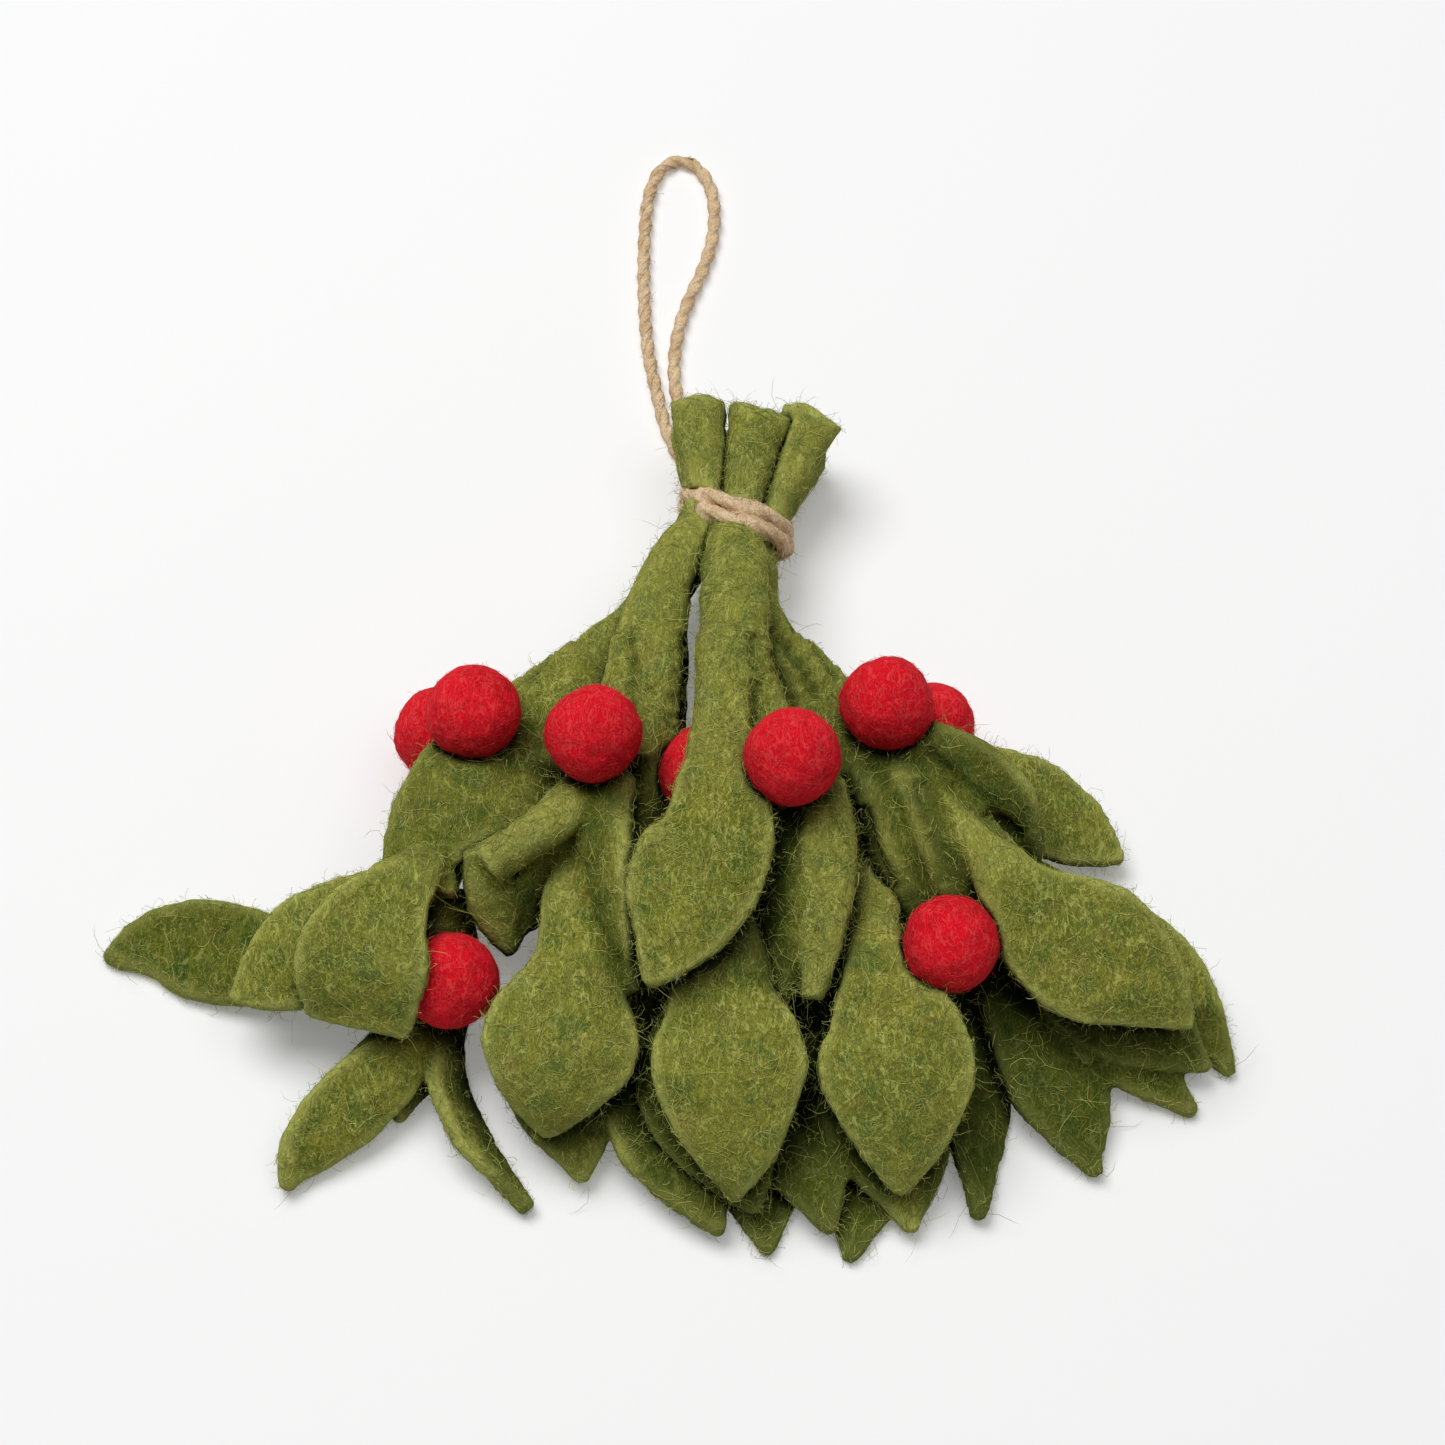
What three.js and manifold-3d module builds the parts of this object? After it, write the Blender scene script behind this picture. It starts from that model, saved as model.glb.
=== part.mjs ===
// A felt mistletoe bunch: sprigs of green wool felt, rolled and stitched into stems that
// fork into flat pointed leaves, with red felt balls for berries. Two turns of jute twine
// tie the stems, and a doubled length of the same twine makes the loop it hangs by.
//
// Millimetres. The bunch lies on the plane z = 0 with +Z up, the cut stem ends and the
// loop towards +Y and the leaf tips towards -Y, and is centred over the origin.

import * as THREE from 'three';
import { mergeVertices } from 'three/addons/utils/BufferGeometryUtils.js';
import Module from 'manifold-3d';

const wasm = await Module();
wasm.setup();

// ---- driving dimensions -----------------------------------------------------------

const FELT = 3;                // thickness of the felt sheet
const LEAF_LENGTH = 47;        // a plain leaf's blade, neck to tip
const LEAF_WIDTH = 30;         // the same leaf at its widest
const WIDEST_AT = 0.44;        // where along the blade that is
const TIP_WIDTH = 2;           // the cut point of a leaf
const SHOULDER = 1.3;          // below 2, how suddenly a blade opens from its neck
const TIP_FULLNESS = 1.8;      // above 1 the sides bulge before they meet at the tip
const NECK_WIDTH = 12;         // a leaf's rolled neck
const NECK_THICK = 8;
const NECK_SHARE = 0.8;        // of a narrow leaf's width, the most its neck takes
const BERRY = 19;              // diameter of a felt ball
const TWINE = 3;               // diameter of the jute twine
const GAP = 0.35;              // clearance between pieces that touch
const ROUND_EDGE = 0.35;       // edge height over thickness, on a rolled stem
const CUT_EDGE = 0.9;          // the same on a cut blade
const BLADE_SPANS = 7;         // steps along a blade
const ROLLED = 0.3;            // share of a leaf with its own outline that is rolled
const FLATTENS = 0.2;          // share over which the roll then opens out
const LEAF_STEP = 6.3;         // length of a step along it
const NECK_STEP = 8;           // length of a step along a neck or stem
const SPEC = 0.08;             // vertices nearer than this are one

const CENTRE = [1.1, -5.7, 0];  // brings the bunch's box over the origin

const FELT_GREEN = '#5f7434';
const BERRY_RED = '#bd1c2c';
const JUTE_TAN = '#b3936c';

// ---- helpers ------------------------------------------------------------------------

const vec = ([x, y, z]) => new THREE.Vector3(x, y, z);
const mix = THREE.MathUtils.lerp;
const ease = (t) => THREE.MathUtils.smoothstep(t, 0, 1);

function solidOf(geometry) {
  geometry.deleteAttribute('normal');
  geometry.deleteAttribute('uv');
  const merged = mergeVertices(geometry, 1e-4);
  return new wasm.Manifold(new wasm.Mesh({
    numProp: 3,
    vertProperties: merged.attributes.position.array,
    triVerts: new Uint32Array(merged.index.array),
  }));
}

function geometryOf(solid) {
  const mesh = solid.getMesh();
  const geometry = new THREE.BufferGeometry();
  geometry.setAttribute('position', new THREE.BufferAttribute(mesh.vertProperties, 3));
  geometry.setIndex(new THREE.BufferAttribute(mesh.triVerts, 1));
  geometry.computeVertexNormals();
  return geometry;
}

const joined = (solids) => solids.reduce((whole, next) => whole.add(next));

// The largest body of a solid: loose scraps that a cut leaves are dropped.
function largest(solid) {
  const bodies = solid.decompose();
  return bodies.reduce((best, next) => (next.volume() > best.volume() ? next : best));
}

// ---- strips of felt -------------------------------------------------------------------

// Places across a strip, from one edge to the other.
const ACROSS = [-1, -0.6, 0, 0.6, 1];

// A strip of felt through stations of { at, along, face, width, thick, edge, cup }. Its
// upper and lower faces are split into triangles alike.
function strip(stations) {
  const n = ACROSS.length;
  const points = [];
  const faces = [];
  const top = (i, j) => i * 2 * n + j;
  const bottom = (i, j) => i * 2 * n + n + j;
  for (const s of stations) {
    const normal = s.face.clone().addScaledVector(s.along, -s.face.dot(s.along)).normalize();
    const side = new THREE.Vector3().crossVectors(s.along, normal);
    for (const sign of [1, -1]) {
      for (const a of ACROSS) {
        const round = Math.sqrt(1 - a * a);
        const half = 0.5 * s.thick * (s.edge + (1 - s.edge) * round);
        const drop = s.cup * s.width * a * a;
        points.push(s.at.clone()
          .addScaledVector(side, 0.5 * s.width * a)
          .addScaledVector(normal, sign * half - drop));
      }
    }
  }
  const quad = (a, b, c, d) => faces.push(a, b, c, a, c, d);
  const last = stations.length - 1;
  for (let i = 0; i < last; i++) {
    for (let j = 0; j < n - 1; j++) {
      quad(top(i, j), top(i, j + 1), top(i + 1, j + 1), top(i + 1, j));
      faces.push(bottom(i, j), bottom(i + 1, j + 1), bottom(i, j + 1));
      faces.push(bottom(i, j), bottom(i + 1, j), bottom(i + 1, j + 1));
    }
    quad(top(i, 0), top(i + 1, 0), bottom(i + 1, 0), bottom(i, 0));
    quad(top(i, n - 1), bottom(i, n - 1), bottom(i + 1, n - 1), top(i + 1, n - 1));
  }
  for (let j = 0; j < n - 1; j++) {
    quad(top(0, j), bottom(0, j), bottom(0, j + 1), top(0, j + 1));
    quad(top(last, j), top(last, j + 1), bottom(last, j + 1), bottom(last, j));
  }
  const geometry = new THREE.BufferGeometry();
  const flat = points.flatMap((p) => [p.x, p.y, p.z]);
  geometry.setAttribute('position', new THREE.Float32BufferAttribute(flat, 3));
  geometry.setIndex(faces);
  return solidOf(geometry);
}

// A rolled stem through rows of [x, y, z, width, thick]. grow swells it all over.
function stem(rows, grow = 0) {
  const curve = new THREE.CatmullRomCurve3(rows.map(vec), false, 'centripetal');
  const steps = Math.max(3, Math.round(curve.getLength() / NECK_STEP));
  const stations = [];
  for (let i = 0; i <= steps; i++) {
    const t = curve.getUtoTmapping(i / steps);
    const place = t * (rows.length - 1);
    const k = Math.min(rows.length - 2, Math.floor(place));
    const along = curve.getTangent(t);
    const reach = (i === steps ? grow : 0) - (i === 0 ? grow : 0);
    stations.push({
      at: curve.getPoint(t).addScaledVector(along, reach),
      along,
      face: new THREE.Vector3(0, 0, 1),
      width: mix(rows[k][3], rows[k + 1][3], place - k) + 2 * grow,
      thick: mix(rows[k][4], rows[k + 1][4], place - k) + 2 * grow,
      edge: ROUND_EDGE,
      cup: 0,
    });
  }
  return strip(stations);
}

// The width at a point of a leaf, b of the way along its blade: full at WIDEST_AT and
// drawn in to the neck and the tip.
function outline(b, width, neck) {
  const rise = Math.sin(0.5 * Math.PI * Math.min(1, b / WIDEST_AT));
  const swell = mix(Math.min(neck, NECK_SHARE * width), width, rise ** SHOULDER);
  const out = Math.max(0, (b - WIDEST_AT) / (1 - WIDEST_AT));
  return Math.max(TIP_WIDTH, swell * (1 - out ** TIP_FULLNESS));
}

// A leaf on its rolled neck. route runs from the fork to the tip, as [x, y, z], or as
// [x, y, z, width] on a leaf with an outline of its own. face is the way the blade looks,
// and cup bends its edges back, as a share of its width.
function leaf(row, grow = 0) {
  const { route, face, width = LEAF_WIDTH, cup = 0.05, blade = LEAF_LENGTH } = row;
  const { neck = NECK_WIDTH, rolled = ROLLED } = row;
  const curve = new THREE.CatmullRomCurve3(route.map(vec), false, 'centripetal');
  const length = curve.getLength();
  const drawn = route[0].length > 3;
  const neckLength = length - Math.min(blade, length - 2);
  const marks = [];
  if (drawn) {
    const spans = Math.round(length / LEAF_STEP);
    for (let i = 0; i <= spans; i++) marks.push(i / spans);
  } else {
    const neckSpans = Math.max(1, Math.round(neckLength / NECK_STEP));
    for (let i = 0; i < neckSpans; i++) marks.push(neckLength / length * i / neckSpans);
    const first = neckLength / length;
    for (let i = 0; i <= BLADE_SPANS; i++) marks.push(mix(first, 1, i / BLADE_SPANS));
  }
  const last = marks.length - 1;
  const stations = marks.map((u, i) => {
    const t = curve.getUtoTmapping(u);
    const place = t * (route.length - 1);
    const k = Math.min(route.length - 2, Math.floor(place));
    const b = Math.max(0, (u * length - neckLength) / (length - neckLength));
    const flat = drawn ? ease((u - rolled) / FLATTENS) : ease(b / (0.8 * WIDEST_AT));
    const wide = drawn ? mix(route[k][3], route[k + 1][3], place - k) : outline(b, width, neck);
    const along = curve.getTangentAt(u);
    const reach = (i === last ? grow : 0) - (i === 0 ? grow : 0);
    return {
      at: curve.getPointAt(u).addScaledVector(along, reach),
      along,
      face: new THREE.Vector3(0, 0, 1).lerp(vec(face).normalize(), ease(2 * u)),
      width: wide + 2 * grow,
      thick: mix(NECK_THICK, FELT, flat) + 2 * grow,
      edge: mix(ROUND_EDGE, CUT_EDGE, flat),
      cup: cup * flat,
    };
  });
  return strip(stations);
}

// ---- the sprigs: stems as rows of [x, y, z, width, thick], leaves by their routes ----

const TOWARDS_FRONT = [0, -0.5, 0.87];

const sprigs = {
  sprig_centre_front: {
    stems: [
      [[18.5, 95, 23, 14, 9.5], [17, 87, 22, 11, 10], [14, 71, 22.5, 7.6, 9],
        [13, 58, 25, 13.5, 10], [13, 42, 30, 14, 11], [12, 24, 35, 14, 11], [10.5, 4, 38, 12, 8]],
      [[13, 34, 32, 10, 9], [16, 20, 34, 10, 9], [22, 8, 34, 11, 8], [26, -1, 34, 14, 7]],
      [[29, -1, 34, 10, 7], [31, -13.5, 34.5, 12, 7], [30.5, -25.5, 32.5, 11, 6.5],
        [29, -36, 30, 8.5, 6], [28.5, -42, 27.5, 6.5, 5], [28, -45, 26, 4, 4]],
    ],
    leaves: [
      { route: [[11.5, 14, 36, 12], [11, 6, 38, 13], [10, -2, 40, 16], [10, -10, 41, 19.5],
        [8.5, -19, 41, 25], [4, -27, 40, 27.5], [2, -34.5, 37.5, 21], [-1, -40.5, 34.5, 11],
        [-4, -45, 32.5, 2]], face: [-0.15, -0.4, 0.9], rolled: 0.2 },
      { route: [[21.5, 1, 33, 10], [23, -8, 32.5, 12], [22.5, -18, 31.5, 13], [22, -29, 29, 12.5],
        [21.5, -38, 24.5, 10], [21.5, -43, 21.5, 3]], face: [-0.6, -0.1, 0.75], rolled: 0.1 },
    ],
  },
  sprig_left_front: {
    stems: [
      [[5, 98, 22, 12, 10], [6, 87, 21, 10.5, 9.5], [6.6, 72, 20.5, 7, 9],
        [1.4, 60, 23, 11, 9.5], [-3.5, 44, 26, 13, 10], [-5, 26, 28, 17, 9], [-10, 8, 29, 13, 8]],
      [[-3, 32, 27, 10, 8], [-3, 16, 26.5, 12, 8], [-4, 0, 23.5, 12, 7], [-5, -14, 19, 10, 7]],
      [[-12, 4, 28, 11, 8], [-16, -0.5, 29.5, 12, 8], [-22.5, -8, 32, 9.5, 8], [-29, -14, 32, 8.5, 8],
        [-36, -17.5, 30, 9, 8]],
      [[-36, -14.5, 30, 9, 7], [-36.5, -20, 26, 10, 7], [-34, -24, 21, 11, 6],
        [-30, -26, 15.5, 10, 5]],
    ],
    leaves: [
      { route: [[-12.5, 2, 30], [-13, -14.5, 31], [-11.5, -29, 29], [-7, -42, 23]],
        face: [-0.85, -0.2, 0.5], width: 14, blade: 38 },
      { route: [[-14.5, 1, 27], [-21, -11, 25], [-26, -17, 21], [-28.5, -25, 16]],
        face: [0.6, -0.6, 0.5], width: 14, blade: 22 },
      { route: [[-13, 6, 24, 8], [-17.5, -5.5, 22, 8], [-20.5, -17, 23, 8.5], [-20, -28.5, 25, 11.5],
        [-19, -38, 26.5, 17], [-20, -46, 27, 28], [-21, -54.5, 26, 32.5], [-22, -61, 23, 27],
        [-23, -65, 17.5, 17], [-23, -67, 11, 3]], face: TOWARDS_FRONT, cup: 0.09 },
      { route: [[-12, 4.5, 21], [-16, -11.5, 16], [-20.5, -31, 15], [-20.5, -51.5, 12],
        [-17, -74, 3.5]], face: [0.1, -0.4, 0.9], width: 29, neck: 9 },
      { route: [[-4, -8, 21], [-4, -23, 16], [-5, -42, 11], [-1, -62, 7.5], [10, -85, 4.2]],
        face: [0.3, -0.2, 0.9], width: 24 },
    ],
  },
  sprig_left_back: {
    stems: [
      [[5, 99, 9.5, 12, 11], [6, 90, 10, 11, 10], [7, 74, 11, 6.6, 8.6], [1, 61, 13, 10, 9],
        [-7, 46, 15, 13, 9], [-19, 30.5, 18, 17, 9], [-30.5, 15.5, 21.5, 22, 8], [-37, 2.5, 27, 31, 7],
        [-46, -10, 28, 23, 7], [-50, -20, 26, 15, 8]],
    ],
    leaves: [
      { route: [[-47, -15, 28, 9], [-51, -21.5, 32, 11], [-55, -27.5, 34, 17], [-58, -33.5, 33.5, 25],
        [-60, -39, 31.5, 28], [-60.5, -44, 27, 26], [-61, -48, 20, 21]],
        face: [-0.2, -0.55, 0.8], rolled: 0.15 },
      { route: [[-51.5, -19, 24, 9], [-58, -22, 24.5, 12], [-64, -25.5, 24, 18], [-69.5, -30, 23, 22],
        [-75, -33.5, 20.5, 22], [-80.5, -36.5, 17.5, 16], [-86.5, -39, 13.5, 2]],
        face: [-0.4, -0.3, 0.85], rolled: 0.1 },
      { route: [[-46, -20, 18, 9], [-64, -25, 10.5, 11], [-78, -27.5, 6.5, 17], [-87, -25, 4.2, 22],
        [-95.5, -22.5, 3, 22], [-103, -20.5, 2.2, 17], [-109.5, -21.5, 1.8, 11], [-114.5, -24, 1.5, 2]],
        face: [-0.05, -0.1, 1], rolled: 0.2, cup: 0 },
      { route: [[-47, -18, 19, 9], [-49, -32, 14, 10], [-51, -46, 12, 13], [-56, -54, 11, 15],
        [-63.5, -61, 9, 16], [-71, -67.5, 6, 13], [-75.5, -74.5, 2.5, 2]],
        face: [0.5, -0.2, 0.85] },
      { route: [[-44, -18, 19], [-42, -30, 8], [-45, -46, 7.5], [-40.5, -62, 6.5], [-27.5, -79, 2.4]],
        face: [0.75, 0.1, 0.55], width: 11.5, blade: 42, neck: 8 },
      { route: [[-47, -36, 9], [-50, -50, 5.5], [-54, -60, 2]],
        face: [0.5, 0, 0.8], width: 10, blade: 20 },
    ],
  },
  sprig_right_back: {
    stems: [
      [[30, 95.5, 21.5, 14, 9], [25.5, 85, 18.5, 10, 9.5], [20.6, 72, 17, 6, 9], [17, 54, 17, 9, 8.5],
        [19, 42, 18.5, 12, 8.5], [28, 27, 22, 15, 9], [36, 14, 23.5, 16, 8], [39.5, 8, 24, 16, 7]],
      [[48, -4, 24, 8, 7], [54, -18, 18, 9, 6], [56, -27, 15, 10, 5]],
    ],
    leaves: [
      { route: [[41, 13, 24, 9], [54, 8, 31, 10], [62.5, 1, 31.5, 13], [68.5, -5, 28, 13],
        [73, -11.5, 20, 3]], face: [-0.6, -0.3, 0.75], rolled: 0.1 },
      { route: [[40, 13, 20, 9], [57, 12, 17, 11], [66, 9.5, 15, 17], [75, 5, 12.5, 22],
        [84.5, 1, 8.5, 17], [92.5, -3, 4.5, 2]], face: [0.1, 0, 1], rolled: 0.2 },
      { route: [[37.5, 13, 23, 8], [41, -0.5, 26, 8.5], [43.5, -11.5, 25, 9], [48.5, -20, 20, 9],
        [55, -29.5, 12.5, 9], [58.5, -41, 8.5, 16], [60, -58, 6, 19], [60.5, -81, 3, 2]],
        face: [0.5, -0.1, 0.85], rolled: 0.45 },
      { route: [[41, 13, 23.5, 8], [48.5, -0.5, 28, 9], [53, -11.5, 27, 9.5], [58, -20, 22, 9.5],
        [65, -31, 15, 12], [71.5, -42, 11, 19], [78, -56.5, 7, 22], [83.5, -72, 2, 2]],
        face: [0.2, -0.2, 0.95], rolled: 0.45 },
      { route: [[43, 13, 23, 8], [54.5, -1, 27, 9], [61.5, -12, 29, 10], [67.5, -22.5, 30, 13],
        [73.5, -29.5, 30, 24], [80.5, -35, 29.5, 29], [89, -39, 27, 26], [96, -43, 23, 16],
        [102.5, -46.5, 17, 2]], face: [0.1, -0.45, 0.87], rolled: 0.4, cup: 0.07 },
      { route: [[60, -10, 24], [70, -22, 21], [80, -32, 19], [93, -42, 12], [107, -50, 5]],
        face: [0.1, -0.4, 0.9], width: 26 },
      { route: [[64, -12, 21], [76, -17, 15], [90, -22, 12], [103.5, -35, 5], [112, -50, 1.4]],
        face: [0.1, 0, 1], width: 16, blade: 44, cup: 0 },
      { route: [[52, -4, 21], [62, -15, 18], [75, -30, 12], [90, -46, 6], [104, -58, 1.4]],
        face: [0.1, -0.1, 1], width: 19, cup: 0 },
    ],
  },
  sprig_centre_low: {
    stems: [
      [[17, 99, 5.1, 12, 11], [16, 89, 8, 10, 10], [13.7, 74, 10, 6, 9], [10.2, 56, 7.5, 8.2, 9],
        [11.5, 36, 8.5, 11, 9], [12, 12, 12, 13, 9], [12, -14, 16, 12, 8]],
    ],
    leaves: [
      { route: [[12, -8, 17, 9], [12.5, -22, 22, 10.5], [13, -31.5, 25, 12], [12, -39, 26.5, 15],
        [11, -45.5, 27, 23], [11.5, -52, 27, 29], [11.5, -58.5, 26, 30.5], [12, -65, 23.5, 28.5],
        [12.5, -71.5, 19.5, 20.5], [13, -76.5, 15, 12.5], [13, -80.5, 10.5, 2]],
        face: TOWARDS_FRONT, cup: 0.09 },
      { route: [[12, -10, 15], [11, -25, 17], [8, -41, 18.5], [8, -58, 15.5], [17, -81, 5]],
        face: [-0.1, -0.3, 0.95], cup: 0.06 },
      { route: [[13, -8, 11], [14, -28, 6], [18, -55, 2.2], [18, -72, 1.4], [19, -88, 1.4]],
        face: [0, 0, 1], width: 26, blade: 54, cup: 0 },
    ],
  },
  sprig_right_low: {
    stems: [
      [[28, 97, 5.1, 11, 11], [25, 88, 8, 10, 10], [19.8, 74, 9, 6, 9], [18, 56, 7.5, 7, 9],
        [23.5, 36, 9, 10.5, 9], [31, 14, 11.5, 12, 9], [39, -8, 15, 13, 8]],
    ],
    leaves: [
      { route: [[39, -4, 16, 9], [40, -20, 21, 10], [40.5, -30, 24, 11], [41, -37.5, 25.5, 13.5],
        [42, -45, 26.5, 21], [43.5, -51.5, 26.5, 29], [44, -57.5, 25.5, 31.5], [44.5, -65, 23, 28],
        [45, -71.5, 18.5, 19.5], [45, -75.5, 14, 12], [44.5, -78.5, 9.5, 2]],
        face: TOWARDS_FRONT, cup: 0.09 },
      { route: [[40, -6, 14], [41, -19, 15], [42, -35, 17], [43, -58, 13], [47, -84, 3]],
        face: [0.1, -0.3, 0.95], width: 29, cup: 0.06 },
      { route: [[38, -8, 13], [34, -26, 11], [30, -46, 10], [26.5, -66, 8.5], [31.5, -85, 5]],
        face: [-0.2, -0.1, 1], width: 27, blade: 56 },
      { route: [[40, -10, 12], [41, -28, 6], [41, -54, 2.2], [39, -72, 1.4], [35, -89.5, 1.4]],
        face: [0, 0, 1], width: 20, cup: 0 },
    ],
  },
};

// Berries by the sprig that carries them.
const berries = {
  berry_centre_front: [24, -2, 46],
  berry_left_front: [-15, 6, 41],
  berry_left_inner: [7, 4, 28],
  berry_left_back_upper: [-39.5, 15.5, 33],
  berry_left_back_outer: [-47.5, 20.5, 15.7],
  berry_left_low: [-43, -38, 20],
  berry_right_back_upper: [43.5, 17, 34],
  berry_right_back_outer: [53, 22, 15.5],
  berry_right_low: [55, -34, 28],
};

// The tie: two turns of twine in a plane tipped back and to the right.
const TIE_CENTRE = [13.2, 72.5, 16];
const TIE_HALF_WIDTH = 10.4;
const TIE_HALF_HEIGHT = 11;
const TIE_LEAN = [-0.32, -0.42];         // fall of y for a step in x, and in z
const TIE_TURNS = 2.1;
const TIE_START = -0.15;                 // of a turn, from the right-hand side
const TIE_PITCH = 3.85;
const TIE_STEPS_A_TURN = 16;
const TIE_LAP = 0.03;                    // turns by which the cutters for the tie overlap

// The hanging loop, from the tie, round and back to it, on the surface.
const LOOP_ROUTE = [
  [6.5, 82.9, 3.4], [5, 89, 2.5], [1.5, 97, 1.7], [-2, 106, 1.6], [-4, 115, 1.6],
  [-6, 126, 1.6], [-7, 138, 1.6], [-7.3, 151, 1.6], [-7, 163, 1.6], [-6, 171.5, 1.6],
  [-3.6, 177.5, 1.6], [0.5, 180, 1.6], [4.7, 178, 1.6], [7.6, 172.5, 1.6], [8.6, 165, 1.6],
  [8, 157, 1.6], [5.8, 148.5, 1.6], [3, 141, 1.6], [0.8, 133, 1.6], [-0.2, 125, 1.6],
  [0, 117, 1.6], [1.6, 109.5, 1.6], [4.4, 102, 1.6], [7.6, 94, 1.8], [9.8, 88, 2.5],
  [10.6, 82.4, 3.4],
];
const LOOP_STEPS = 38;

// ---- build ------------------------------------------------------------------------------

const materials = {
  felt: [FELT_GREEN, 0.95],
  berry: [BERRY_RED, 0.9],
  jute: [JUTE_TAN, 0.9],
};

const bunch = new THREE.Group();
bunch.name = 'felt_mistletoe_bunch';

function place(name, geometry, finish) {
  const [color, roughness] = materials[finish];
  const look = new THREE.MeshStandardMaterial({ color, roughness, metalness: 0 });
  const mesh = new THREE.Mesh(geometry, look);
  mesh.name = name;
  bunch.add(mesh);
  return mesh;
}

function ball(centre, radius) {
  const geometry = new THREE.SphereGeometry(radius, 12, 8);
  geometry.rotateX(Math.PI / 2);
  geometry.translate(...centre);
  return solidOf(geometry);
}

// A length of twine along a curve.
function twine(curve, steps, radius) {
  const section = new THREE.Shape();
  for (let i = 0; i < 8; i++) {
    const a = Math.PI * i / 4;
    const [x, y] = [radius * Math.cos(a), radius * Math.sin(a)];
    if (i === 0) section.moveTo(x, y);
    else section.lineTo(x, y);
  }
  section.closePath();
  return new THREE.ExtrudeGeometry(section, { steps, extrudePath: curve, curveSegments: 1 });
}

// The tie's twine between two of its turns.
function tieCurve(from, to) {
  const points = [];
  const count = Math.round((to - from) * TIE_STEPS_A_TURN);
  for (let i = 0; i <= count; i++) {
    const turn = mix(from, to, i / count);
    const a = 2 * Math.PI * (TIE_START + turn);
    const dx = TIE_HALF_WIDTH * Math.cos(a);
    const dz = TIE_HALF_HEIGHT * Math.sin(a);
    const dy = TIE_LEAN[0] * dx + TIE_LEAN[1] * dz + (turn - TIE_TURNS / 2) * TIE_PITCH;
    const [x, y, z] = TIE_CENTRE;
    points.push(new THREE.Vector3(x + dx, y + dy, z + dz));
  }
  return new THREE.CatmullRomCurve3(points, false, 'centripetal');
}

const taken = [];

function tieTwine(from, to, radius) {
  const steps = Math.round((to - from) * TIE_STEPS_A_TURN);
  return twine(tieCurve(from, to), steps, radius);
}

place('twine_tie', tieTwine(0, TIE_TURNS, TWINE / 2), 'jute');
for (let third = 0; third < 3; third++) {
  const [from, to] = [TIE_TURNS * third / 3, TIE_TURNS * (third + 1) / 3];
  taken.push(solidOf(tieTwine(from - TIE_LAP, to + TIE_LAP, TWINE / 2 + 1.5 * GAP)));
}

const loopCurve = new THREE.CatmullRomCurve3(LOOP_ROUTE.map(vec), false, 'centripetal');
place('hanging_loop', twine(loopCurve, LOOP_STEPS, TWINE / 2), 'jute');
taken.push(solidOf(twine(loopCurve, LOOP_STEPS, TWINE / 2 + GAP)));

for (const [name, centre] of Object.entries(berries)) {
  place(name, geometryOf(ball(centre, BERRY / 2)), 'berry');
  taken.push(ball(centre, BERRY / 2 + GAP));
}

for (const [name, { stems, leaves }] of Object.entries(sprigs)) {
  const pieces = (grow) => joined([
    ...stems.map((rows) => stem(rows, grow)),
    ...leaves.map((row) => leaf(row, grow)),
  ]);
  let body = pieces(0);
  for (const other of taken) body = body.subtract(other);
  body = largest(body.trimByPlane([0, 0, 1], 0).simplify(SPEC));
  place(name, geometryOf(body), 'felt');
  taken.push(pieces(GAP));
}

bunch.position.set(...CENTRE);

export default bunch;
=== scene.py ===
import math

import bmesh
import bpy
import numpy as np
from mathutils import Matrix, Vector
from mathutils.bvhtree import BVHTree


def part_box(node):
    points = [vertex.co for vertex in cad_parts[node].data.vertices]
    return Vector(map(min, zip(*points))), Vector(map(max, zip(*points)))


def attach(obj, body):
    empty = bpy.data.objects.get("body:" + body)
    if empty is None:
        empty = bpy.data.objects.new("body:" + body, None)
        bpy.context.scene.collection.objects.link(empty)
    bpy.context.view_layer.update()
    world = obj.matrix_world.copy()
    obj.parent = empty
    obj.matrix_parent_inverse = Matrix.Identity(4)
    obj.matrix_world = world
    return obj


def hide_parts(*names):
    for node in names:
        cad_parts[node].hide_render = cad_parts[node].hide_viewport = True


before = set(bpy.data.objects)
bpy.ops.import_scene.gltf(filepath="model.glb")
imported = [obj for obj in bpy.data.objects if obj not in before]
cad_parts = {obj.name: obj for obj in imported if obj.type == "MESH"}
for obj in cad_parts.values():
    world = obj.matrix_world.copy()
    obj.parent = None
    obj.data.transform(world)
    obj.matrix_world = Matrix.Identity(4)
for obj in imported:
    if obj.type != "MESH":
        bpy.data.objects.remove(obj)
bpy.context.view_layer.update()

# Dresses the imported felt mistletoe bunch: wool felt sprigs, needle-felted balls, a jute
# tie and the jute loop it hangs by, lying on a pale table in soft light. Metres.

MM = 0.001
SPRIGS = ["sprig_centre_front", "sprig_left_front", "sprig_left_back",
          "sprig_right_back", "sprig_centre_low", "sprig_right_low"]
BALLS = ["berry_centre_front", "berry_left_front", "berry_left_inner",
         "berry_left_back_upper", "berry_left_back_outer", "berry_left_low",
         "berry_right_back_upper", "berry_right_back_outer", "berry_right_low"]

# ---- camera -----------------------------------------------------------------------------

VIEW_HEIGHT = math.radians(60)            # of the camera over the table
VIEW_TARGET = Vector((11.5, 26.5, 0)) * MM
VIEW_DISTANCE = 800 * MM
FRAME_PIXELS, FOCAL_PIXELS = 1445, 3800
SENSOR = 36                               # width, in millimetres

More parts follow.
